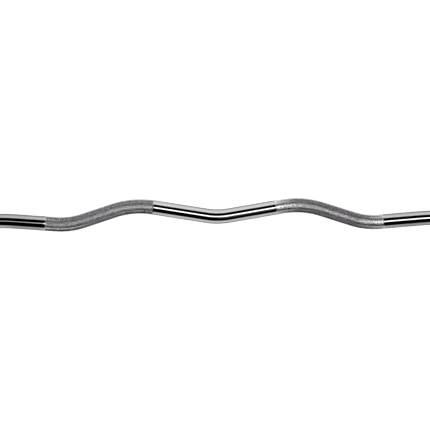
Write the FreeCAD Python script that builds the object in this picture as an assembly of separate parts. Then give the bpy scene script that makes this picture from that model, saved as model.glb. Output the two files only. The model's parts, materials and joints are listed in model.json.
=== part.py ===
"""EZ curl bar: a shaft bent into a shallow W, with a turning plate sleeve at each end.

Millimetres and degrees. The origin is the middle of the bar on the axis of the sleeves, +X runs along
the bar and +Z is up. The bar lies as it does on a floor: on its two flanges, with the bends
drooping towards -Y until the two grip peaks touch the same floor.
"""
import FreeCAD, Part
import math
import os
from FreeCAD import Vector

# Shaft: leg lengths run from corner to corner of the W before its corners are rounded
grip_diameter = 28.0
inner_leg_length = 167.0
outer_leg_length = 130.0
tail_leg_length = 122.0
inner_leg_angle = 9.4
outer_leg_angle = 18.0
tail_leg_angle = 4.4
centre_bend_radius = 135.0
peak_bend_radius = 165.0
trough_bend_radius = 140.0
tail_bend_radius = 450.0
tail_straight_length = 3.0
smooth_centre_length = 240.0
smooth_tail_length = 102.0
knurl_height = 0.15
shaft_end_chamfer = 1.5

# Stop ring and its spring pin
stop_ring_diameter = 42.0
stop_ring_width = 10.0
stop_ring_rounding = 1.5
pin_diameter = 5.0
pin_wall = 1.0
pin_slot_width = 1.2
pin_recess = 0.6
pin_end_chamfer = 0.5

# Thrust washer
thrust_washer_diameter = 40.0
thrust_washer_thickness = 2.0

# Sleeve and flange
sleeve_diameter = 50.0
loadable_length = 150.0
sleeve_chamfer = 1.5
flange_diameter = 66.0
flange_width = 15.0
flange_rounding = 3.0
flange_shoulder = 2.0
bore_shoulder = 2.0
mouth_chamfer = 0.8

# Bushings
bushing_wall = 4.0
inner_bushing_length = 35.0
outer_bushing_length = 30.0
bushing_flange_diameter = 44.0
bushing_flange_thickness = 2.5
bushing_chamfer = 0.6

# End fixing
retaining_washer_thickness = 4.0
retaining_washer_rounding = 0.5
lock_washer_thickness = 3.0
lock_washer_wall = 4.2
lock_washer_slit = 1.4
lock_washer_slit_angle = 20.0
bolt_diameter = 12.0
bolt_length = 40.0
bolt_tip_chamfer = 1.2
bolt_head_height = 7.5
bolt_head_across_flats = 19.0
bolt_head_chamfer_angle = 30.0
bolt_hole_spare = 5.0
drill_tip_angle = 59.0

# End cap
cap_lip_thickness = 2.5
cap_dome_height = 1.0
cap_skirt_depth = 8.0
cap_skirt_wall = 2.5
cap_lip_rounding = 1.0
cap_skirt_chamfer = 0.8

# Clearances: radial for fits, axial for gaps
running_clearance = 0.05
seat_clearance = 0.02
washer_clearance = 0.3
bolt_clearance = 0.1
thrust_gap = 0.3
bushing_end_gap = 0.4
bolt_head_gap = 1.5
cut_overrun = 2.0

# Radii that follow from the sizes above
grip_radius = grip_diameter / 2
knurl_radius = grip_radius + knurl_height
flange_radius = flange_diameter / 2
sleeve_radius = sleeve_diameter / 2
flange_seat_radius = sleeve_radius - flange_shoulder
bushing_bore_radius = grip_radius + running_clearance
bushing_radius = bushing_bore_radius + bushing_wall
counterbore_radius = bushing_radius + seat_clearance
relief_radius = counterbore_radius - bore_shoulder
bolt_radius = bolt_diameter / 2
bolt_hole_radius = bolt_radius + bolt_clearance
pin_radius = pin_diameter / 2

# Places along one end of the bar, measured outwards from the inner face of the stop ring
thrust_washer_start = stop_ring_width
thrust_washer_end = thrust_washer_start + thrust_washer_thickness
inner_bushing_start = thrust_washer_end + thrust_gap
sleeve_start = inner_bushing_start + bushing_flange_thickness
flange_end = sleeve_start + flange_width
sleeve_end = flange_end + loadable_length
inner_bushing_end = sleeve_start + inner_bushing_length
cap_skirt_start = sleeve_end - cap_skirt_depth
bolt_head_start = cap_skirt_start - bolt_head_gap - bolt_head_height
lock_washer_start = bolt_head_start - lock_washer_thickness
shaft_end = lock_washer_start - retaining_washer_thickness
outer_bushing_end = shaft_end - thrust_gap
outer_bushing_start = outer_bushing_end - outer_bushing_length

# Corners of one half of the W, as distance along the bar and height above the sleeve axis
inner_slope = math.radians(inner_leg_angle)
outer_slope = math.radians(outer_leg_angle)
tail_slope = math.radians(tail_leg_angle)
peak_x = inner_leg_length * math.cos(inner_slope)
trough_x = peak_x + outer_leg_length * math.cos(outer_slope)
tail_x = trough_x + tail_leg_length * math.cos(tail_slope)
trough_height = -tail_leg_length * math.sin(tail_slope)
peak_height = trough_height + outer_leg_length * math.sin(outer_slope)
centre_height = peak_height - inner_leg_length * math.sin(inner_slope)
stop_ring_x = tail_x + tail_bend_radius * math.tan(tail_slope / 2) + tail_straight_length
shaft_end_x = stop_ring_x + shaft_end

# The bends droop until the rounded tops of the peaks lie on the floor under the flanges,
# or hang straight down where the flanges hold them clear of it
peak_cut = peak_bend_radius * math.tan((inner_slope + outer_slope) / 2)
peak_rise = peak_bend_radius * (1 - math.cos(inner_slope)) - peak_cut * math.sin(inner_slope)
peak_top = peak_height + peak_rise
droop_angle = math.degrees(math.asin(min(1, (flange_radius - knurl_radius) / peak_top)))
rest_turn = 90 + droop_angle

origin = Vector(0, 0, 0)
along = Vector(1, 0, 0)
across = Vector(0, 1, 0)
upward = Vector(0, 0, 1)

# How far each end's pieces are turned about the vertical from the right end
sides = {"right": 0, "left": 180}


def rounded_chain(corners, closed):
    """Edges through (x, z, rounding) corners, with a tangent arc at each corner that has a rounding."""
    count = len(corners)
    points = [Vector(x, 0, z) for x, z, rounding in corners]
    stretches = []
    for index in range(count):
        point = points[index]
        rounding = corners[index][2]
        at_open_end = not closed and index in (0, count - 1)
        if rounding == 0 or at_open_end:
            stretches.append([point])
            continue
        backward = (points[index - 1] - point).normalize()
        forward = (points[(index + 1) % count] - point).normalize()
        half_opening = backward.getAngle(forward) / 2
        cut = rounding / math.tan(half_opening)
        middle = (backward + forward).normalize() * (rounding / math.sin(half_opening) - rounding)
        stretches.append([point + backward * cut, point + middle, point + forward * cut])
    edges = []
    for index in range(count):
        stretch = stretches[index]
        if len(stretch) == 3:
            edges.append(Part.Arc(*stretch).toShape())
        if closed or index < count - 1:
            following = stretches[(index + 1) % count]
            edges.append(Part.LineSegment(stretch[-1], following[0]).toShape())
    return edges


def turned(outline):
    """A solid turned about the bar's axis from an outline of (along, radius, rounding) corners."""
    face = Part.Face(Part.Wire(rounded_chain(outline, True)))
    return face.revolve(origin, along, 360)


def turned_ring(start, end, bore_radius, outer_radius, rounding):
    """A plain ring with both outer rims rounded."""
    return turned([
        (start, bore_radius, 0),
        (end, bore_radius, 0),
        (end, outer_radius, rounding),
        (start, outer_radius, rounding),
    ])


def trimmed(edges, start, end):
    """The stretch of a chain of edges between two distances along it."""
    stretch = []
    travelled = 0
    for edge in edges:
        low = max(start - travelled, 0)
        high = min(end - travelled, edge.Length)
        if high > low:
            first = edge.getParameterByLength(low)
            last = edge.getParameterByLength(high)
            stretch.append(edge.Curve.toShape(first, last))
        travelled += edge.Length
    return stretch


def round_bar(edges, radius):
    """A round bar that follows a chain of edges."""
    first = edges[0]
    start = first.valueAt(first.FirstParameter)
    heading = first.tangentAt(first.FirstParameter)
    section = Part.Face(Part.Wire(Part.makeCircle(radius, start, heading)))
    return Part.Wire(edges).makePipe(section)


def at_end(piece, side):
    """A copy of a piece, moved from the end's own frame to one end of the bar."""
    placed = piece.copy()
    placed.translate(along * stop_ring_x)
    placed.rotate(origin, upward, sides[side])
    return placed


def shaft_centreline():
    """The W from end to end: straight legs joined by tangent bends, all in one plane."""
    half = [
        (peak_x, peak_height, peak_bend_radius),
        (trough_x, trough_height, trough_bend_radius),
        (tail_x, 0, tail_bend_radius),
        (shaft_end_x, 0, 0),
    ]
    left = [(-x, z, rounding) for x, z, rounding in reversed(half)]
    return rounded_chain(left + [(0, centre_height, centre_bend_radius)] + half, False)


def shaft_end_cutter():
    """The bolt hole with its drilled tip and the chamfer of one shaft end, as one end's cutters."""
    hole_depth = bolt_length - retaining_washer_thickness - lock_washer_thickness + bolt_hole_spare
    hole_bottom = shaft_end - hole_depth
    tip = hole_bottom - bolt_hole_radius / math.tan(math.radians(drill_tip_angle))
    hole = turned([
        (tip, 0, 0),
        (hole_bottom, bolt_hole_radius, 0),
        (shaft_end + cut_overrun, bolt_hole_radius, 0),
        (shaft_end + cut_overrun, 0, 0),
    ])
    chamfer = turned([
        (shaft_end - shaft_end_chamfer, grip_radius, 0),
        (shaft_end + cut_overrun, grip_radius - shaft_end_chamfer - cut_overrun, 0),
        (shaft_end + cut_overrun, grip_radius + cut_overrun, 0),
        (shaft_end - shaft_end_chamfer, grip_radius + cut_overrun, 0),
    ])
    return hole.fuse(chamfer)


def pin_hole():
    """The hole for the spring pin, straight through stop ring and shaft."""
    length = stop_ring_diameter + 2 * cut_overrun
    start = Vector(stop_ring_width / 2, -length / 2, 0)
    return Part.makeCylinder(pin_radius + seat_clearance, length, start, across)


def make_shaft():
    """The bent bar with its two raised knurled bands, pin holes and bolt holes."""
    centreline = shaft_centreline()
    middle = sum(edge.Length for edge in centreline) / 2
    knurl_start = smooth_centre_length / 2
    knurl_end = middle - shaft_end - smooth_tail_length
    shaft = round_bar(centreline, grip_radius)
    for start, end in ((-knurl_end, -knurl_start), (knurl_start, knurl_end)):
        band = trimmed(centreline, middle + start, middle + end)
        shaft = shaft.fuse(round_bar(band, knurl_radius))
    for side in sides:
        for cutter in (shaft_end_cutter(), pin_hole()):
            shaft = shaft.cut(at_end(cutter, side))
    return shaft


def make_stop_ring():
    """The ring pinned to the shaft, which the sleeve's inner end runs against."""
    bore = grip_radius + seat_clearance
    ring = turned_ring(0, stop_ring_width, bore, stop_ring_diameter / 2, stop_ring_rounding)
    return ring.cut(pin_hole())


def make_stop_ring_pin():
    """A rolled spring pin: a tube with chamfered ends, slit along its length."""
    half_length = stop_ring_diameter / 2 - pin_recess
    bore = pin_radius - pin_wall
    tube = turned([
        (-half_length, bore, 0),
        (half_length, bore, 0),
        (half_length, pin_radius - pin_end_chamfer, 0),
        (half_length - pin_end_chamfer, pin_radius, 0),
        (pin_end_chamfer - half_length, pin_radius, 0),
        (-half_length, pin_radius - pin_end_chamfer, 0),
    ])
    slot_length = 2 * half_length + 2 * cut_overrun
    slot_corner = Vector(-slot_length / 2, -pin_slot_width / 2, 0)
    pin = tube.cut(Part.makeBox(slot_length, pin_slot_width, pin_diameter, slot_corner))
    pin.rotate(origin, upward, 90)
    pin.translate(along * (stop_ring_width / 2))
    return pin


def make_thrust_washer():
    """The flat washer between the stop ring and the sleeve's bushing."""
    bore = grip_radius + washer_clearance
    return turned_ring(thrust_washer_start, thrust_washer_end, bore, thrust_washer_diameter / 2, 0)


def make_inner_bushing():
    """A flanged bushing whose flange runs against the thrust washer."""
    return turned([
        (inner_bushing_start, bushing_bore_radius + bushing_chamfer, 0),
        (inner_bushing_start + bushing_chamfer, bushing_bore_radius, 0),
        (inner_bushing_end, bushing_bore_radius, 0),
        (inner_bushing_end, bushing_radius - bushing_chamfer, 0),
        (inner_bushing_end - bushing_chamfer, bushing_radius, 0),
        (sleeve_start, bushing_radius, 0),
        (sleeve_start, bushing_flange_diameter / 2, 0),
        (inner_bushing_start, bushing_flange_diameter / 2, bushing_chamfer),
    ])


def make_outer_bushing():
    """A plain bushing that seats on the inner shoulder of the sleeve."""
    return turned([
        (outer_bushing_start, bushing_bore_radius, 0),
        (outer_bushing_end - bushing_chamfer, bushing_bore_radius, 0),
        (outer_bushing_end, bushing_bore_radius + bushing_chamfer, 0),
        (outer_bushing_end, bushing_radius, 0),
        (outer_bushing_start + bushing_chamfer, bushing_radius, 0),
        (outer_bushing_start, bushing_radius - bushing_chamfer, 0),
    ])


def make_flange():
    """The collar that stops the plates, seated on the turned-down end of the sleeve."""
    bore = flange_seat_radius + seat_clearance
    return turned_ring(sleeve_start, flange_end, bore, flange_radius, flange_rounding)


def make_sleeve():
    """The plate tube: turned down for the flange, bored for both bushings and relieved between them."""
    inner_counterbore_end = inner_bushing_end + bushing_end_gap
    return turned([
        (sleeve_start, counterbore_radius, 0),
        (inner_counterbore_end, counterbore_radius, 0),
        (inner_counterbore_end, relief_radius, 0),
        (outer_bushing_start, relief_radius, 0),
        (outer_bushing_start, counterbore_radius, 0),
        (sleeve_end - mouth_chamfer, counterbore_radius, 0),
        (sleeve_end, counterbore_radius + mouth_chamfer, 0),
        (sleeve_end, sleeve_radius - sleeve_chamfer, 0),
        (sleeve_end - sleeve_chamfer, sleeve_radius, 0),
        (flange_end, sleeve_radius, 0),
        (flange_end, flange_seat_radius, 0),
        (sleeve_start, flange_seat_radius, 0),
    ])


def make_retaining_washer():
    """The washer on the shaft end that keeps the sleeve from sliding off."""
    end = shaft_end + retaining_washer_thickness
    outer = counterbore_radius - washer_clearance
    return turned_ring(shaft_end, end, bolt_hole_radius, outer, retaining_washer_rounding)


def make_lock_washer():
    """A spring washer pressed flat, with its slanted slit."""
    outer = bolt_hole_radius + lock_washer_wall
    ring = turned_ring(lock_washer_start, bolt_head_start, bolt_hole_radius, outer, 0)
    slit_length = lock_washer_thickness + 2 * cut_overrun
    slit_corner = Vector(-slit_length / 2, -lock_washer_slit / 2, 0)
    slit = Part.makeBox(slit_length, lock_washer_slit, outer + cut_overrun, slit_corner)
    slit.rotate(origin, upward, lock_washer_slit_angle)
    slit.translate(along * (lock_washer_start + lock_washer_thickness / 2))
    return ring.cut(slit)


def make_end_bolt():
    """A hex bolt with a chamfered head, screwed into the end of the shaft."""
    head_end = bolt_head_start + bolt_head_height
    flat_radius = bolt_head_across_flats / 2
    corner_radius = flat_radius / math.cos(math.pi / 6)
    corners = []
    for step in range(6):
        angle = step * math.pi / 3
        sideways = corner_radius * math.cos(angle)
        corners.append(Vector(bolt_head_start, sideways, corner_radius * math.sin(angle)))
    hexagon = Part.Face(Part.makePolygon(corners + corners[:1]))
    chamfer_drop = (corner_radius - flat_radius) * math.tan(math.radians(bolt_head_chamfer_angle))
    dome = turned([
        (bolt_head_start, 0, 0),
        (head_end, 0, 0),
        (head_end, flat_radius, 0),
        (head_end - chamfer_drop, corner_radius, 0),
        (bolt_head_start, corner_radius, 0),
    ])
    head = hexagon.extrude(along * bolt_head_height).common(dome)
    tip = bolt_head_start - bolt_length
    shank = turned([
        (tip, 0, 0),
        (bolt_head_start, 0, 0),
        (bolt_head_start, bolt_radius, 0),
        (tip + bolt_tip_chamfer, bolt_radius, 0),
        (tip, bolt_radius - bolt_tip_chamfer, 0),
    ])
    return head.fuse(shank)


def make_end_cap():
    """A domed plug with a hollow skirt that grips the sleeve's bore."""
    skirt_radius = counterbore_radius - seat_clearance
    lip_radius = sleeve_radius - sleeve_chamfer
    lip_end = sleeve_end + cap_lip_thickness
    return turned([
        (sleeve_end, 0, 0),
        (lip_end + cap_dome_height, 0, 0),
        (lip_end, lip_radius, cap_lip_rounding),
        (sleeve_end, lip_radius, 0),
        (sleeve_end, skirt_radius, 0),
        (cap_skirt_start + cap_skirt_chamfer, skirt_radius, 0),
        (cap_skirt_start, skirt_radius - cap_skirt_chamfer, 0),
        (cap_skirt_start, skirt_radius - cap_skirt_wall, 0),
        (sleeve_end, skirt_radius - cap_skirt_wall, 0),
    ])


def write(piece, node):
    """Turn a finished piece to the bar's resting droop and write it."""
    resting = piece.copy()
    resting.rotate(origin, along, rest_turn)
    resting.exportStep(os.path.join("parts", node + ".step"))


end_pieces = {
    "stop_ring": make_stop_ring(),
    "stop_ring_pin": make_stop_ring_pin(),
    "thrust_washer": make_thrust_washer(),
    "inner_bushing": make_inner_bushing(),
    "outer_bushing": make_outer_bushing(),
    "flange": make_flange(),
    "sleeve": make_sleeve(),
    "retaining_washer": make_retaining_washer(),
    "lock_washer": make_lock_washer(),
    "end_bolt": make_end_bolt(),
    "end_cap": make_end_cap(),
}

os.makedirs("parts", exist_ok=True)
write(make_shaft(), "shaft")
for side in sides:
    for name, piece in end_pieces.items():
        write(at_end(piece, side), side + "_" + name)
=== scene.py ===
"""EZ curl bar lying on a plain pale floor, seen square to the plane of its bends.

Metres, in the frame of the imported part: the origin is the middle of the bar on the axis of the sleeves,
+X runs along the bar, +Z is up, and the bends droop towards -Y until the grip peaks touch the floor.
"""
import bpy
import json
import math
import random
from mathutils import Matrix, Vector


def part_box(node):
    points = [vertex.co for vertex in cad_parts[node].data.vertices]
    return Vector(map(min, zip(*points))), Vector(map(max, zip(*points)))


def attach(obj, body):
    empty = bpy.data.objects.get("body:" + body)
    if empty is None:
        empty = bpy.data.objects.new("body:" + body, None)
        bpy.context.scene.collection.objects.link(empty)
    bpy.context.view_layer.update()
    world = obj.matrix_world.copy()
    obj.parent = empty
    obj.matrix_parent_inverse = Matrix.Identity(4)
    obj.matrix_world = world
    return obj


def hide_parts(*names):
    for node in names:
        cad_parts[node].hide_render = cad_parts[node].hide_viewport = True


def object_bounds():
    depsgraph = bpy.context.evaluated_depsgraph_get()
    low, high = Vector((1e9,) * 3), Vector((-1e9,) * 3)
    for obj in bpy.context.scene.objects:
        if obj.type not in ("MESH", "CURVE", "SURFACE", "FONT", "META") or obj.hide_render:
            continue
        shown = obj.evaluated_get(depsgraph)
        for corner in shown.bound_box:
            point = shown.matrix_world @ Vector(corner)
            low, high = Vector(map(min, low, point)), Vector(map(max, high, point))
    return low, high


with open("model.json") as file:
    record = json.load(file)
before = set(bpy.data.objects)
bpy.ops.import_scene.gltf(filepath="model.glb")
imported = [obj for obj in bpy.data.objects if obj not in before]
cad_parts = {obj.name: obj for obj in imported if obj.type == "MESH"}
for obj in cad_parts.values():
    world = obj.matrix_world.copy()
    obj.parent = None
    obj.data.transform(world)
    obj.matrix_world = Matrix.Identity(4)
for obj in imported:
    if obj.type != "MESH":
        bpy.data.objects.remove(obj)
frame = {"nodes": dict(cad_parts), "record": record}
cad_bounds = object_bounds()

# Shaft sizes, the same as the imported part's
GRIP_RADIUS = 0.014
INNER_LEG_LENGTH = 0.167
OUTER_LEG_LENGTH = 0.130
TAIL_LEG_LENGTH = 0.122
INNER_LEG_ANGLE = math.radians(9.4)
OUTER_LEG_ANGLE = math.radians(18.0)
TAIL_LEG_ANGLE = math.radians(4.4)
CENTRE_BEND_RADIUS = 0.135
PEAK_BEND_RADIUS = 0.165
TROUGH_BEND_RADIUS = 0.140
TAIL_BEND_RADIUS = 0.450
TAIL_STRAIGHT_LENGTH = 0.003
SMOOTH_CENTRE_LENGTH = 0.240
SMOOTH_TAIL_LENGTH = 0.102
SHAFT_END_CHAMFER = 0.0015
BOLT_HOLE_RADIUS = 0.0061
BOLT_HOLE_DEPTH = 0.038
BOLT_HOLE_TIP = 0.0037

# Knurl: truncated diamonds between crossing helical grooves
KNURL_STARTS = 58
KNURL_GROOVE_ANGLE = math.radians(30)
KNURL_HEIGHT = 0.00015
KNURL_GROOVE_DEPTH = 0.00043
KNURL_TOP_SHARE = 0.12
KNURL_RUNOUT = 0.0015
KNURL_UNEVENNESS = 0.00006
KNURL_SEED = 7

# Both knurl bands sit a little towards +X, and the one on -X is shallow at its ends
KNURL_SHIFT = 0.0065
KNURL_SHALLOW_LENGTH = 0.05
KNURL_SHALLOW_DEPTH = 0.3
KNURL_TAIL_DEPTH = 0.4

# Mesh: the turn between rings in a bend, the gap to a ring beside a bend or an end, and what counts as sharp
RING_TURN = math.radians(2)
RING_GAP = 0.002
SHARP_EDGE_ANGLE = math.radians(30)

# Resting droop of the bends, from the flange that the bar lies on
floor_height = cad_bounds[0].z
flange_radius = -floor_height
peak_cut = PEAK_BEND_RADIUS * math.tan((INNER_LEG_ANGLE + OUTER_LEG_ANGLE) / 2)
peak_corner_height = OUTER_LEG_LENGTH * math.sin(OUTER_LEG_ANGLE) - TAIL_LEG_LENGTH * math.sin(TAIL_LEG_ANGLE)
centre_corner_height = peak_corner_height - INNER_LEG_LENGTH * math.sin(INNER_LEG_ANGLE)
peak_rounding = PEAK_BEND_RADIUS * (1 - math.cos(INNER_LEG_ANGLE)) - peak_cut * math.sin(INNER_LEG_ANGLE)
peak_top = peak_corner_height + peak_rounding
droop = math.asin((flange_radius - GRIP_RADIUS - KNURL_HEIGHT) / peak_top)
peak_way = Vector((0, -math.cos(droop), -math.sin(droop)))
plane_normal = Vector((0, -math.sin(droop), math.cos(droop)))

# Finishes: where most of a noise lies, how grain varies, chrome's reflection and tints, and the sleeve's wear
NOISE_RANGE = (0.3, 0.7)
NOISE_MIDDLE = 0.5
HAZE_RANGE = (0.3, 0.75)
METAL_GRAIN = (0.8, 1.15)
PLASTIC_GRAIN = (0.7, 1.4)
SHAFT_CHROME = 0.6
FITTING_CHROME = 0.62
CHROME_TINT = (1.0, 0.965, 1.01)
CHROME_RIM_TINT = 0.1
SHAFT_HAZE = (0.03, 0.08)
SLEEVE_HAZE = (0.04, 0.09)
SLEEVE_RING_SCALES = (1500.0, 12.0, 12.0)
SLEEVE_SCUFF_SCALES = (22.0, 700.0, 700.0)
SLEEVE_SCUFF_RANGE = (0.58, 0.72)
SLEEVE_SCUFF_DEPTH = 2.0

# Knurl finish: how far patches, specks, grooves and shallow rolling move the plate along its colours
KNURL_PATCHES = 0.5
KNURL_SPECKS = 2.0
KNURL_GROOVE_GAIN = 0.6
KNURL_GROOVE_RANGE = (0.4, 0.7)
KNURL_FRESH_GAIN = 1.2
KNURL_COLOURS = [(0.0, (0.34, 0.328, 0.343)), (0.6, (0.88, 0.849, 0.889)), (1.0, (0.985, 0.95, 0.995))]
KNURL_EDGE_SHADE = [(0.0, 0.7), (0.2, 1.0)]
KNURL_SATIN = (0.9, 0.75)
KNURL_ROUGHNESS = [(0.0, 0.1), (0.15, 0.3), (1.0, 0.35)]

# Camera: square to the plane of the bends, with the peaks up in the picture
CAMERA_DISTANCE = 1.95
PIXEL_SIZE = 0.00195
IMAGE_PIXELS = 430
BAR_CENTRE_PIXEL = (217.17, 218.83)
BAR_ROLL = math.radians(0.44)
SENSOR_WIDTH = 36.0

# Floor, and the card on it that only reflections see, with (metres, level) stops across and along the bar
FLOOR_SIZE = 16.0
FLOOR_GLOW = 0.86
FLOOR_SHADE = 0.8
FLOOR_ROUGHNESS = 0.9
CARD_REACH = 0.4
CARD_FRONT = (-0.21, -0.2)
# Across the bar the card's levels fall from -0.06 to 0.08: a painted shadow of the bar on the floor
CARD_ACROSS_WITH_PAINTED_SHADOW = [
    (CARD_FRONT[0], 0.0),
    (CARD_FRONT[1], 1.0),
    (-0.06, 1.0),
    (-0.034, 0.82),
    (-0.018, 0.62),
    (0.0, 0.55),
    (0.03, 0.4),
    (0.08, 0.3),
]
CARD_ALONG = [(-0.4, 0.85), (-0.13, 1.0), (0.13, 1.0), (0.4, 0.72)]
CARD_BEYOND = (0.5, 0.56)
CARD_BEYOND_LEVEL = 0.85
CARD_LIGHT = 1.15

# Studio lights: angles in degrees round the bar, up from the horizon on the camera's side,
# and sideways places as the x part of a direction
EDGE_SOFTNESS = 1.5
STRIP_MIDDLE = 45.0
STRIP_HALF = 7.5
STRIP_THIN_HALF = 2.6
STRIP_LIGHT = 3.0
STRIP_THIN_LIGHT = 1.3
STRIP_THINS = (0.08, 0.19)
STRIP_ENDS = (0.42, 0.52)
GLOW_ANGLES = [(50.0, 0.0), (52.0, 1.0), (76.0, 0.0)]
GLOW_STARTS = (-0.17, -0.14)
GLOW_ENDS = (-0.03, 0.0)
GLOW_LIGHT = 0.35
WALL_TOP = 119.0
WALL_LEVELS = [(0.2, 0.88), (0.26, 0.5), (0.3, 0.5), (0.36, 0.0)]
SIDE_ANGLES = [(0.0, 0.0), (40.0, 0.6), (51.0, 0.3), (60.0, 0.0), (125.0, 0.25), (150.0, 0.8)]
SIDE_LEVELS = [(0.3, 0.0), (0.36, 0.5), (0.8, 0.5), (0.88, 1.0)]
SIDE_LIGHT = 2.0
END_ANGLES = [(10.8, 0.0), (25.2, 1.0), (79.2, 1.0), (108.0, 0.15)]
END_STARTS = (0.86, 0.94)
END_LIGHT = 1.6
HALF_CIRCLE = 180.0


def grey(level):
    return (level, level, level)


def add_node(tree, kind, values=None, **settings):
    """A new shader node. A value that is a socket is linked, and any other is set."""
    made = tree.nodes.new(kind)
    for name, setting in settings.items():
        setattr(made, name, setting)
    for name, value in (values or {}).items():
        if isinstance(value, bpy.types.NodeSocket):
            tree.links.new(value, made.inputs[name])
        else:
            made.inputs[name].default_value = value
    return made


def math_node(tree, operation, first, second=0.0):
    """The result of one operation on two values or sockets."""
    return add_node(tree, "ShaderNodeMath", {0: first, 1: second}, operation=operation).outputs[0]


def map_node(tree, value, reach, levels):
    """A value moved from one range to another, and held at its ends."""
    values = {"Value": value}
    values["From Min"], values["From Max"] = reach
    values["To Min"], values["To Max"] = levels
    return add_node(tree, "ShaderNodeMapRange", values).outputs["Result"]


def ramp_node(tree, factor, stops):
    """A colour ramp through (place, colour) stops."""
    made = add_node(tree, "ShaderNodeValToRGB", {"Fac": factor})
    elements = made.color_ramp.elements
    while len(elements) < len(stops):
        elements.new(1.0)
    for element, (place, colour) in zip(elements, stops):
        element.position = place
        element.color = (*colour, 1.0)
    return made.outputs["Color"]


def level_ramp(tree, factor, stops):
    """A ramp through (place, level) stops."""
    return ramp_node(tree, factor, [(place, grey(level)) for place, level in stops])


def noise_node(tree, place, scale, detail):
    """Soft random patches."""
    values = {"Vector": place, "Scale": scale, "Detail": detail}
    return add_node(tree, "ShaderNodeTexNoise", values).outputs["Fac"]


def stretched_noise(tree, place, scales, detail):
    """Noise drawn out along the axes that have the smaller scales."""
    stretched = add_node(tree, "ShaderNodeMapping", {"Vector": place, "Scale": scales})
    return noise_node(tree, stretched.outputs["Vector"], 1.0, detail)


def bump_node(tree, height, strength, distance):
    """A normal bent by a height."""
    values = {"Height": height, "Strength": strength, "Distance": distance}
    return add_node(tree, "ShaderNodeBump", values).outputs["Normal"]


# The bar's centreline


def half_centreline():
    """Stretches from the middle outwards: start distance, length, x, height, heading and curvature."""
    headings = [0.0, INNER_LEG_ANGLE, -OUTER_LEG_ANGLE, TAIL_LEG_ANGLE, 0.0]
    legs = [INNER_LEG_LENGTH, OUTER_LEG_LENGTH, TAIL_LEG_LENGTH]
    radii = [CENTRE_BEND_RADIUS, PEAK_BEND_RADIUS, TROUGH_BEND_RADIUS, TAIL_BEND_RADIUS]
    turns = [after - before for before, after in zip(headings, headings[1:])]
    # The centre bend turns as much again on the other half
    corner_turns = [2 * turns[0], *turns[1:]]
    cuts = [radius * math.tan(abs(turn) / 2) for radius, turn in zip(radii, corner_turns)]
    runs = []
    for index, (radius, turn) in enumerate(zip(radii, turns)):
        runs.append((abs(turn) * radius, math.copysign(1 / radius, turn)))
        if index < len(legs):
            runs.append((legs[index] - cuts[index] - cuts[index + 1], 0.0))
    distance, x, heading = 0.0, 0.0, 0.0
    height = centre_corner_height + CENTRE_BEND_RADIUS / math.cos(INNER_LEG_ANGLE) - CENTRE_BEND_RADIUS
    stretches = []
    for length, curvature in runs:
        stretches.append((distance, length, x, height, heading, curvature))
        x, height, heading = along_stretch(stretches[-1], length)
        distance += length
    end_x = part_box("right_retaining_washer")[0].x
    stretches.append((distance, end_x - x, x, height, heading, 0.0))
    return stretches


def along_stretch(stretch, travelled):
    """Place and heading after some distance along a straight or round stretch."""
    _, _, x, height, heading, curvature = stretch
    if curvature == 0:
        return x + travelled * math.cos(heading), height + travelled * math.sin(heading), heading
    turned = heading + travelled * curvature
    return (
        x + (math.sin(turned) - math.sin(heading)) / curvature,
        height - (math.cos(turned) - math.cos(heading)) / curvature,
        turned,
    )


centreline = half_centreline()
shaft_end = centreline[-1][0] + centreline[-1][1]
ring_face = centreline[-1][0] + TAIL_STRAIGHT_LENGTH
knurl_start = SMOOTH_CENTRE_LENGTH / 2
knurl_end = ring_face - SMOOTH_TAIL_LENGTH


def shaft_point(distance, angle, radius):
    """A point on or round the shaft, by distance along it from its middle and angle about it."""
    reach = abs(distance)
    stretch = next(s for s in reversed(centreline) if reach >= s[0])
    x, height, heading = along_stretch(stretch, reach - stretch[0])
    side = math.copysign(1, distance)
    lift = radius * math.cos(angle)
    x = side * (x - lift * math.sin(heading))
    height += lift * math.cos(heading)
    return Vector((x, 0, 0)) + peak_way * height + plane_normal * (radius * math.sin(angle))


# The shaft: one unbroken skin with two knurled bands


class Skin:
    """Vertices, faces and marks of a mesh that grows ring by ring."""

    def __init__(self):
        self.points = []
        self.heights = []
        self.depths = []
        self.faces = []
        self.knurled = []

    def point(self, distance, angle, radius, height=1.0, depth=0.0):
        """Add a point, with its height on the knurl and how deep the knurl is there."""
        self.points.append(shaft_point(distance, angle, radius))
        self.heights.append(height)
        self.depths.append(depth)
        return len(self.points) - 1

    def ring(self, distance, radius):
        """Add a ring of points."""
        count = 2 * KNURL_STARTS
        return [self.point(distance, math.pi * step / KNURL_STARTS, radius) for step in range(count)]

    def face(self, corners, knurled=False):
        """Add a face. Its corners run clockwise seen from outside, and Blender wants them the other way."""
        self.faces.append(corners[::-1])
        self.knurled.append(knurled)

    def bridge(self, first, second):
        """Add the faces between two rings."""
        for step in range(len(first)):
            after = (step + 1) % len(first)
            self.face((first[step], first[after], second[after], second[step]))

    def fan(self, ring, centre, inward):
        """Add the faces from a ring to a point."""
        for step in range(len(ring)):
            after = (step + 1) % len(ring)
            corners = (ring[step], ring[after], centre)
            self.face(corners[::-1] if inward else corners)


def knurl_depth(distance, start, end, end_depths):
    """How deep the knurl is rolled, from 0 at the band's ends to 1."""
    from_ends = (distance - start, end - distance)
    share = max(0.0, min(1.0, min(from_ends) / KNURL_RUNOUT))
    depth = share * share * (3 - 2 * share)
    for gap, end_depth in zip(from_ends, end_depths):
        shallow = max(0.0, 1.0 - gap / KNURL_SHALLOW_LENGTH)
        depth *= 1.0 - (1.0 - end_depth) * shallow
    return depth


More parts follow.
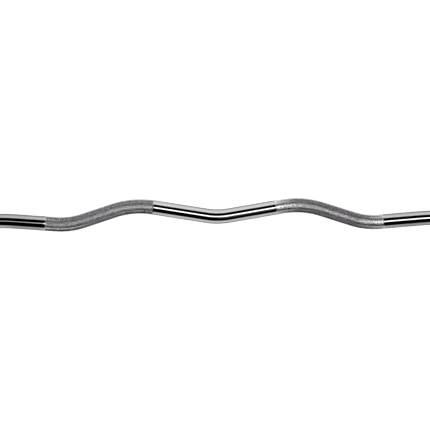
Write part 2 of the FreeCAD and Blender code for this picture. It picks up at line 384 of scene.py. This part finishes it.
def add_knurl(skin, first_ring, start, end, end_depths):
    """Diamonds from one ring to another, and the ring where they end."""
    width = 2 * math.pi * GRIP_RADIUS / KNURL_STARTS
    rows = 2 * round((end - start) * math.tan(KNURL_GROOVE_ANGLE) / width)
    spacing = (end - start) / rows
    half_turn = math.pi / KNURL_STARTS
    count = 2 * KNURL_STARTS
    chance = random.Random(KNURL_SEED)

    def depth(distance):
        return knurl_depth(distance, start, end, end_depths)

    def crossing_row(row):
        distance = start + row * spacing
        deep = depth(distance)
        made = {}
        for step in range(row % 2, count, 2):
            fall = KNURL_GROOVE_DEPTH - KNURL_UNEVENNESS * chance.random()
            made[step] = skin.point(distance, step * half_turn, GRIP_RADIUS - fall * deep, 1.0 - deep, deep)
        return made

    def top_point(distance, angle):
        deep = depth(distance)
        rise = KNURL_HEIGHT - KNURL_UNEVENNESS * chance.random()
        return skin.point(distance, angle, GRIP_RADIUS + rise * deep, 1.0, deep)

    last_ring = skin.ring(end, GRIP_RADIUS)
    crossings = [dict(enumerate(first_ring))]
    crossings += [crossing_row(row) for row in range(1, rows)]
    crossings.append(dict(enumerate(last_ring)))
    for step in range(1, count, 2):
        before, after = step - 1, (step + 1) % count
        inner, outer = crossings[1][step], crossings[rows - 1][step]
        skin.face((first_ring[before], first_ring[step], inner), True)
        skin.face((first_ring[step], first_ring[after], inner), True)
        skin.face((last_ring[step], last_ring[before], outer), True)
        skin.face((last_ring[after], last_ring[step], outer), True)
    for row in range(1, rows):
        distance = start + row * spacing
        top_share = 1.0 - (1.0 - KNURL_TOP_SHARE) * depth(distance)
        along, around = top_share * spacing, top_share * half_turn
        for step in range((row + 1) % 2, count, 2):
            before, after = (step - 1) % count, (step + 1) % count
            angle = step * half_turn
            corners = [
                crossings[row - 1][step],
                crossings[row][after],
                crossings[row + 1][step],
                crossings[row][before],
            ]
            tops = [
                top_point(distance - along, angle),
                top_point(distance, angle + around),
                top_point(distance + along, angle),
                top_point(distance, angle - around),
            ]
            skin.face(tuple(tops), True)
            for corner in range(4):
                following = (corner + 1) % 4
                skin.face((corners[corner], corners[following], tops[following], tops[corner]), True)
    return last_ring


def ring_places(start, end):
    """Where a plain part needs rings: round its bends, and close to each end of a straight."""
    places = {start + RING_GAP, end - RING_GAP, end}
    for begin, length, _, _, _, curvature in centreline:
        count = math.ceil(length * abs(curvature) / RING_TURN)
        for side in (-1, 1):
            inner, outer = side * begin, side * (begin + length)
            if curvature and start < min(inner, outer) and max(inner, outer) < end:
                places.update(inner + (outer - inner) * step / count for step in range(count + 1))
                places.add(outer + side * RING_GAP)
                if begin > 0:
                    places.add(inner - side * RING_GAP)
    return sorted(places)


def add_smooth(skin, first_ring, start, end):
    """Plain rings from one ring to another distance along the bar."""
    ring = first_ring
    for place in ring_places(start, end):
        following = skin.ring(place, GRIP_RADIUS)
        skin.bridge(ring, following)
        ring = following
    return ring


def add_end(skin, side, ring):
    """Chamfer, end face and bolt hole, from the outermost ring inwards."""
    places = [
        (shaft_end, GRIP_RADIUS - SHAFT_END_CHAMFER),
        (shaft_end, BOLT_HOLE_RADIUS),
        (shaft_end - BOLT_HOLE_DEPTH, BOLT_HOLE_RADIUS),
    ]
    for distance, radius in places:
        following = skin.ring(side * distance, radius)
        if side > 0:
            skin.bridge(ring, following)
        else:
            skin.bridge(following, ring)
        ring = following
    tip = skin.point(side * (shaft_end - BOLT_HOLE_DEPTH - BOLT_HOLE_TIP), 0.0, 0.0)
    skin.fan(ring, tip, side < 0)


def shaft_skin():
    """The whole bent bar, from one bolt hole to the other."""
    skin = Skin()
    body_end = shaft_end - SHAFT_END_CHAMFER
    ring = skin.ring(-body_end, GRIP_RADIUS)
    add_end(skin, -1, ring)
    reached = -body_end
    bands = [
        (-knurl_end, -knurl_start, (KNURL_TAIL_DEPTH, KNURL_SHALLOW_DEPTH)),
        (knurl_start, knurl_end, (1.0, 1.0)),
    ]
    for start, end, end_depths in bands:
        ring = add_smooth(skin, ring, reached, KNURL_SHIFT + start)
        ring = add_knurl(skin, ring, KNURL_SHIFT + start, KNURL_SHIFT + end, end_depths)
        reached = KNURL_SHIFT + end
    ring = add_smooth(skin, ring, reached, body_end)
    add_end(skin, 1, ring)
    return skin


def make_shaft(chrome, knurl):
    """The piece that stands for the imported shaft."""
    skin = shaft_skin()
    mesh = bpy.data.meshes.new("bent_shaft")
    mesh.from_pydata(skin.points, [], skin.faces)
    mesh.polygons.foreach_set("material_index", [int(mark) for mark in skin.knurled])
    mesh.polygons.foreach_set("use_smooth", [not mark for mark in skin.knurled])
    mesh.set_sharp_from_angle(angle=SHARP_EDGE_ANGLE)
    for name, values in (("knurl_height", skin.heights), ("knurl_depth", skin.depths)):
        mesh.attributes.new(name, "FLOAT", "POINT").data.foreach_set("value", values)
    mesh.materials.append(chrome)
    mesh.materials.append(knurl)
    shaft = bpy.data.objects.new("bent_shaft", mesh)
    bpy.context.scene.collection.objects.link(shaft)
    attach(shaft, "bar")
    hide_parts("shaft")


# Materials


def new_material(name):
    """An empty node material and its main shader."""
    material = bpy.data.materials.new(name)
    material.use_nodes = True
    tree = material.node_tree
    tree.nodes.clear()
    shader = add_node(tree, "ShaderNodeBsdfPrincipled")
    add_node(tree, "ShaderNodeOutputMaterial", {"Surface": shader.outputs["BSDF"]})
    return material, tree, shader


def object_place(tree):
    """The place on the object, in metres."""
    return add_node(tree, "ShaderNodeTexCoord").outputs["Object"]


def chrome_colour(tree, patches, level, dull, bright):
    """The plate's colour, a little duller or brighter from patch to patch."""
    colours = [[share * level * part for part in CHROME_TINT] for share in (dull, bright)]
    return ramp_node(tree, patches, list(zip(NOISE_RANGE, colours)))


def finish_chrome(tree, shader, colour, rough):
    """Link a chrome finish to its shader, and dim what it reflects at grazing angles."""
    tree.links.new(colour, shader.inputs["Base Color"])
    tree.links.new(rough, shader.inputs["Roughness"])
    shader.inputs["Metallic"].default_value = 1.0
    shader.inputs["Specular Tint"].default_value = (*grey(CHROME_RIM_TINT), 1.0)


def chrome_material(name, level):
    """Bright plate with faint waviness, smudges and polishing haze."""
    material, tree, shader = new_material(name)
    place = object_place(tree)
    smudge = noise_node(tree, place, scale=45.0, detail=5.0)
    wave = noise_node(tree, place, scale=90.0, detail=2.0)
    colour = chrome_colour(tree, smudge, level, dull=0.96, bright=1.03)
    haze = map_node(tree, smudge, HAZE_RANGE, SHAFT_HAZE)
    finish_chrome(tree, shader, colour, haze)
    tree.links.new(bump_node(tree, wave, strength=0.12, distance=0.0001), shader.inputs["Normal"])
    return material


def sleeve_material(name, level, scuffing):
    """Chrome on a turned surface: faint rings round the axis, and lengthwise scuffs from sliding plates."""
    material, tree, shader = new_material(name)
    place = object_place(tree)
    rings = stretched_noise(tree, place, SLEEVE_RING_SCALES, detail=3.0)
    scuffs = stretched_noise(tree, place, SLEEVE_SCUFF_SCALES, detail=2.0)
    smudge = noise_node(tree, place, scale=40.0, detail=5.0)
    colour = chrome_colour(tree, smudge, level, dull=0.95, bright=1.04)
    haze = map_node(tree, smudge, HAZE_RANGE, SLEEVE_HAZE)
    scuffed = map_node(tree, scuffs, SLEEVE_SCUFF_RANGE, (0.0, scuffing))
    finish_chrome(tree, shader, colour, math_node(tree, "ADD", haze, scuffed))
    heights = math_node(tree, "SUBTRACT", rings, math_node(tree, "MULTIPLY", scuffed, SLEEVE_SCUFF_DEPTH))
    tree.links.new(bump_node(tree, heights, strength=0.06, distance=0.00005), shader.inputs["Normal"])
    return material


def knurl_material():
    """Chromed knurl: satin where it is rolled deep, dark on its worn tops and brighter in the grooves."""
    material, tree, shader = new_material("knurled_chrome")
    height = add_node(tree, "ShaderNodeAttribute", attribute_name="knurl_height").outputs["Fac"]
    depth = add_node(tree, "ShaderNodeAttribute", attribute_name="knurl_depth").outputs["Fac"]
    place = object_place(tree)
    patch = noise_node(tree, place, scale=60.0, detail=4.0)
    speck = noise_node(tree, place, scale=420.0, detail=1.0)
    worn = math_node(tree, "MULTIPLY", math_node(tree, "SUBTRACT", patch, NOISE_MIDDLE), KNURL_PATCHES)
    speckling = math_node(tree, "MULTIPLY", depth, KNURL_SPECKS)
    speckled = math_node(tree, "MULTIPLY", math_node(tree, "SUBTRACT", speck, NOISE_MIDDLE), speckling)
    groove = map_node(tree, height, KNURL_GROOVE_RANGE, (KNURL_GROOVE_GAIN, 0.0))
    fresh = map_node(tree, depth, (KNURL_SHALLOW_DEPTH, 1.0), (KNURL_FRESH_GAIN, 0.0))
    uneven = math_node(tree, "ADD", groove, math_node(tree, "ADD", worn, speckled))
    plate = ramp_node(tree, math_node(tree, "ADD", uneven, fresh), KNURL_COLOURS)
    shade = level_ramp(tree, depth, KNURL_EDGE_SHADE)
    layers = {"Factor": 1.0, "A": plate, "B": shade}
    shaded = add_node(tree, "ShaderNodeMix", layers, data_type="RGBA", blend_type="MULTIPLY")
    satin = map_node(tree, patch, NOISE_RANGE, KNURL_SATIN)
    rough = math_node(tree, "MULTIPLY", satin, level_ramp(tree, depth, KNURL_ROUGHNESS))
    finish_chrome(tree, shader, shaded.outputs["Result"], rough)
    return material


def plain_metal(name, colour, rough, scale):
    """A duller metal with fine grain."""
    material, tree, shader = new_material(name)
    grain = noise_node(tree, object_place(tree), scale, detail=6.0)
    colours = [[share * channel for channel in colour] for share in METAL_GRAIN]
    tree.links.new(ramp_node(tree, grain, list(zip(NOISE_RANGE, colours))), shader.inputs["Base Color"])
    tree.links.new(bump_node(tree, grain, strength=0.2, distance=0.0001), shader.inputs["Normal"])
    shader.inputs["Metallic"].default_value = 1.0
    shader.inputs["Roughness"].default_value = rough
    return material


def plain_plastic(name, level, rough, scale):
    """Moulded plastic with a fine spark-eroded texture."""
    material, tree, shader = new_material(name)
    grain = noise_node(tree, object_place(tree), scale, detail=3.0)
    levels = [share * level for share in PLASTIC_GRAIN]
    tree.links.new(level_ramp(tree, grain, list(zip(NOISE_RANGE, levels))), shader.inputs["Base Color"])
    tree.links.new(bump_node(tree, grain, strength=0.3, distance=0.0001), shader.inputs["Normal"])
    shader.inputs["Roughness"].default_value = rough
    return material


def dress_nodes(chrome):
    """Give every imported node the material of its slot."""
    looks = {
        "chrome_shaft": chrome,
        "chrome_fittings": sleeve_material("fitting_chrome", FITTING_CHROME, scuffing=0.06),
        "chrome_sleeve": sleeve_material("sleeve_chrome", FITTING_CHROME, scuffing=0.2),
        "bronze": plain_metal("sintered_bronze", (0.55, 0.33, 0.14), rough=0.35, scale=900.0),
        "black_nylon": plain_plastic("black_nylon", level=0.03, rough=0.5, scale=1200.0),
        "black_cap": plain_plastic("black_cap", level=0.02, rough=0.35, scale=1500.0),
        "zinc_steel": plain_metal("zinc_steel", (0.55, 0.56, 0.58), rough=0.3, scale=700.0),
        "spring_steel": plain_metal("spring_steel", (0.16, 0.16, 0.17), rough=0.35, scale=700.0),
    }
    for subpart in frame["record"]["subparts"]:
        node = frame["nodes"][subpart["node"]]
        node.data.materials.clear()
        node.data.materials.append(looks[subpart["material_slot"]])


# Studio


def add_sheet(name, half, height, material):
    """A flat square on the stage."""
    corners = [(-half, -half, height), (half, -half, height), (half, half, height), (-half, half, height)]
    mesh = bpy.data.meshes.new(name)
    mesh.from_pydata(corners, [], [(0, 1, 2, 3)])
    mesh.materials.append(material)
    sheet = bpy.data.objects.new(name, mesh)
    bpy.context.scene.collection.objects.link(sheet)
    return sheet


def make_floor():
    """A wide pale floor that glows, so that shadows on it stay faint. Reflections don't see it."""
    material, _, shader = new_material("pale_floor")
    shader.inputs["Base Color"].default_value = (*grey(FLOOR_SHADE), 1.0)
    shader.inputs["Roughness"].default_value = FLOOR_ROUGHNESS
    shader.inputs["Specular IOR Level"].default_value = 0.0
    shader.inputs["Emission Color"].default_value = (*grey(1.0), 1.0)
    shader.inputs["Emission Strength"].default_value = FLOOR_GLOW
    floor = add_sheet("floor", FLOOR_SIZE / 2, floor_height, material)
    floor.visible_glossy = False


def card_ramp(tree, metres, stops):
    """Levels by place on the card."""
    share = map_node(tree, metres, (-CARD_REACH, CARD_REACH), (0.0, 1.0))
    return level_ramp(tree, share, [((place / CARD_REACH + 1) / 2, level) for place, level in stops])


def make_card():
    """A sheet on the floor that only reflections see: it darkens under the bar, a painted shadow of the bar,
    and ends in front of it.
    """
    material = bpy.data.materials.new("card_light_with_painted_shadow")
    material.use_nodes = True
    tree = material.node_tree
    tree.nodes.clear()
    parts = add_node(tree, "ShaderNodeSeparateXYZ", {"Vector": object_place(tree)})
    x, y = parts.outputs["X"], parts.outputs["Y"]
    # The levels across the bar hold a painted shadow of the bar, darker close under it
    painted_shadow_levels = math_node(tree, "MULTIPLY", card_ramp(tree, y, CARD_ACROSS_WITH_PAINTED_SHADOW), card_ramp(tree, x, CARD_ALONG))
    beyond = map_node(tree, math_node(tree, "ABSOLUTE", x), CARD_BEYOND, (0.0, CARD_BEYOND_LEVEL))
    beyond = math_node(tree, "MULTIPLY", beyond, map_node(tree, y, CARD_FRONT, (0.0, 1.0)))
    glow = math_node(tree, "MULTIPLY", math_node(tree, "MAXIMUM", painted_shadow_levels, beyond), CARD_LIGHT)
    light = add_node(tree, "ShaderNodeEmission", {"Strength": glow})
    add_node(tree, "ShaderNodeOutputMaterial", {"Surface": light.outputs[0]})
    card = add_sheet("card_light_with_painted_shadow", FLOOR_SIZE / 2, floor_height, material)
    card.visible_camera = False
    card.visible_diffuse = False
    card.visible_shadow = False
    card.visible_transmission = False


def angle_ramp(tree, angle, stops):
    """Levels by angle round the bar."""
    share = map_node(tree, angle, (0.0, HALF_CIRCLE), (0.0, 1.0))
    return level_ramp(tree, share, [(place / HALF_CIRCLE, level) for place, level in stops])


def strip_light(tree, angle, sideways):
    """A long strip on the camera's side, which thins towards +X."""
    half = map_node(tree, sideways, STRIP_THINS, (STRIP_HALF, STRIP_THIN_HALF))
    off_middle = math_node(tree, "ABSOLUTE", math_node(tree, "SUBTRACT", angle, STRIP_MIDDLE))
    inside = math_node(tree, "SUBTRACT", half, off_middle)
    strip = map_node(tree, inside, (-EDGE_SOFTNESS, EDGE_SOFTNESS), (0.0, 1.0))
    level = map_node(tree, sideways, STRIP_THINS, (STRIP_LIGHT, STRIP_THIN_LIGHT))
    ends = map_node(tree, math_node(tree, "ABSOLUTE", sideways), STRIP_ENDS, (1.0, 0.0))
    return math_node(tree, "MULTIPLY", strip, math_node(tree, "MULTIPLY", level, ends))


def glow_light(tree, angle, sideways):
    """A faint glow above the strip, a little to the -X side."""
    height = angle_ramp(tree, angle, GLOW_ANGLES)
    starts = map_node(tree, sideways, GLOW_STARTS, (0.0, GLOW_LIGHT))
    ends = map_node(tree, sideways, GLOW_ENDS, (1.0, 0.0))
    return math_node(tree, "MULTIPLY", height, math_node(tree, "MULTIPLY", starts, ends))


def wall_light(tree, angle, sideways):
    """A pale far wall under a dark ceiling."""
    wall = map_node(tree, angle, (WALL_TOP - EDGE_SOFTNESS, WALL_TOP + EDGE_SOFTNESS), (0.0, 1.0))
    levels = level_ramp(tree, math_node(tree, "ABSOLUTE", sideways), WALL_LEVELS)
    return math_node(tree, "MULTIPLY", wall, levels)


def side_light(tree, angle, sideways):
    """Panels far to both sides, which the knurl's facets see."""
    panels = angle_ramp(tree, angle, SIDE_ANGLES)
    panels.node.color_ramp.interpolation = "CONSTANT"
    levels = level_ramp(tree, math_node(tree, "ABSOLUTE", sideways), SIDE_LEVELS)
    return math_node(tree, "MULTIPLY", panels, math_node(tree, "MULTIPLY", levels, SIDE_LIGHT))


def end_light(tree, angle, sideways):
    """A broad light beyond each end of the bar."""
    reach = map_node(tree, math_node(tree, "ABSOLUTE", sideways), END_STARTS, (0.0, END_LIGHT))
    return math_node(tree, "MULTIPLY", angle_ramp(tree, angle, END_ANGLES), reach)


def make_world():
    """Long soft lights round the bar. The camera itself sees a plain pale backing in their place."""
    world = bpy.data.worlds.new("studio")
    world.use_nodes = True
    tree = world.node_tree
    tree.nodes.clear()
    way = add_node(tree, "ShaderNodeTexCoord").outputs["Generated"]
    parts = add_node(tree, "ShaderNodeSeparateXYZ", {"Vector": way})
    front = math_node(tree, "MULTIPLY", parts.outputs["Y"], -1.0)
    angle = math_node(tree, "DEGREES", math_node(tree, "ARCTAN2", parts.outputs["Z"], front))
    sideways = parts.outputs["X"]
    light = strip_light(tree, angle, sideways)
    for other_light in (wall_light, side_light, end_light, glow_light):
        light = math_node(tree, "ADD", light, other_light(tree, angle, sideways))
    seen = add_node(tree, "ShaderNodeLightPath").outputs["Is Camera Ray"]
    studio = add_node(tree, "ShaderNodeBackground", {"Color": (*grey(1.0), 1.0), "Strength": light})
    backing = add_node(tree, "ShaderNodeBackground", {"Color": (*grey(1.0), 1.0), "Strength": 1.0})
    mixed = add_node(tree, "ShaderNodeMixShader", {0: seen, 1: studio.outputs[0], 2: backing.outputs[0]})
    add_node(tree, "ShaderNodeOutputWorld", {"Surface": mixed.outputs[0]})
    bpy.context.scene.world = world


def make_camera():
    """Square to the plane of the bends, turned so that the peaks point up in the picture."""
    data = bpy.data.cameras.new("camera")
    data.sensor_width = SENSOR_WIDTH
    data.lens = SENSOR_WIDTH * CAMERA_DISTANCE / (PIXEL_SIZE * IMAGE_PIXELS)
    camera = bpy.data.objects.new("camera", data)
    image_up = peak_way
    image_right = (-plane_normal).cross(image_up)
    turn = Matrix((image_right, image_up, plane_normal)).transposed()
    turn = turn @ Matrix.Rotation(-BAR_ROLL, 3, "Z")
    middle = (IMAGE_PIXELS - 1) / 2
    left_of_bar = (BAR_CENTRE_PIXEL[0] - middle) * PIXEL_SIZE
    above_bar = (BAR_CENTRE_PIXEL[1] - middle) * PIXEL_SIZE
    place = plane_normal * CAMERA_DISTANCE - image_right * left_of_bar + image_up * above_bar
    camera.matrix_world = Matrix.LocRotScale(place, turn.to_quaternion(), None)
    bpy.context.scene.collection.objects.link(camera)
    bpy.context.scene.camera = camera
    bpy.context.scene.view_settings.view_transform = "Standard"


bright_chrome = chrome_material("bright_chrome", SHAFT_CHROME)
make_shaft(bright_chrome, knurl_material())
dress_nodes(bright_chrome)
make_floor()
make_card()
make_world()
make_camera()
